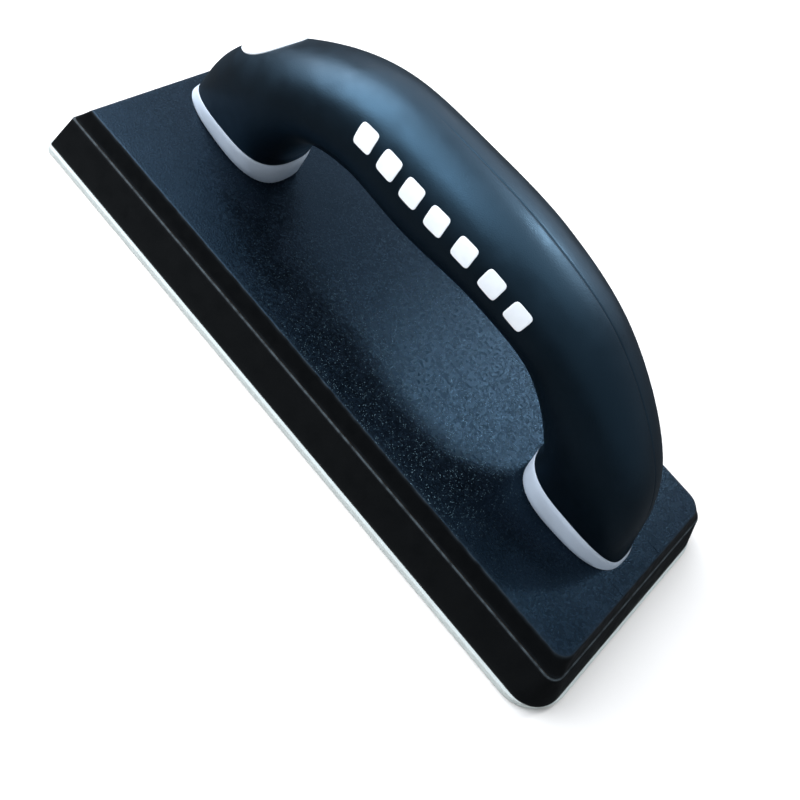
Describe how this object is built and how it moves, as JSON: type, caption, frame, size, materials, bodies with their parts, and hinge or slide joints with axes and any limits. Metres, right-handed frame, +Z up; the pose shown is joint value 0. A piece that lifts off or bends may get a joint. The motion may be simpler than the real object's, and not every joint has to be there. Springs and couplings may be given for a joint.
{
  "type": "grout float",
  "caption": "Hand float for spreading grout: flared rubber pad with a white face sheet, bevelled backing plate and a closed D handle with a soft cover.",
  "frame": {"origin": "middle of the working face, on the surface that the float lies on", "axes": "+X along the float from the square toe to the round-cornered heel, +Y to the left seen from the heel, +Z up through the handle"},
  "size_m": [0.24, 0.1, 0.0883],
  "materials": {
    "face_white": "matt",
    "adhesive": "matt",
    "pad_rubber": "matt",
    "plate_plastic": "fine textured",
    "core_plastic": "satin",
    "grip_rubber": "soft satin",
    "inlay_plastic": "satin",
    "screw_steel": "zinc plated"
  },
  "bodies": {
    "root": {"face_sheet": "face_white", "lower_adhesive": "adhesive", "rubber_pad": "pad_rubber", "upper_adhesive": "adhesive", "backing_plate": "plate_plastic", "handle_core_left": "core_plastic", "handle_core_right": "core_plastic", "grip_cover": "grip_rubber", "thumb_inlay": "inlay_plastic", "screw_toe_left": "screw_steel", "screw_toe_right": "screw_steel", "screw_heel_left": "screw_steel", "screw_heel_right": "screw_steel"}
  },
  "joints": []
}
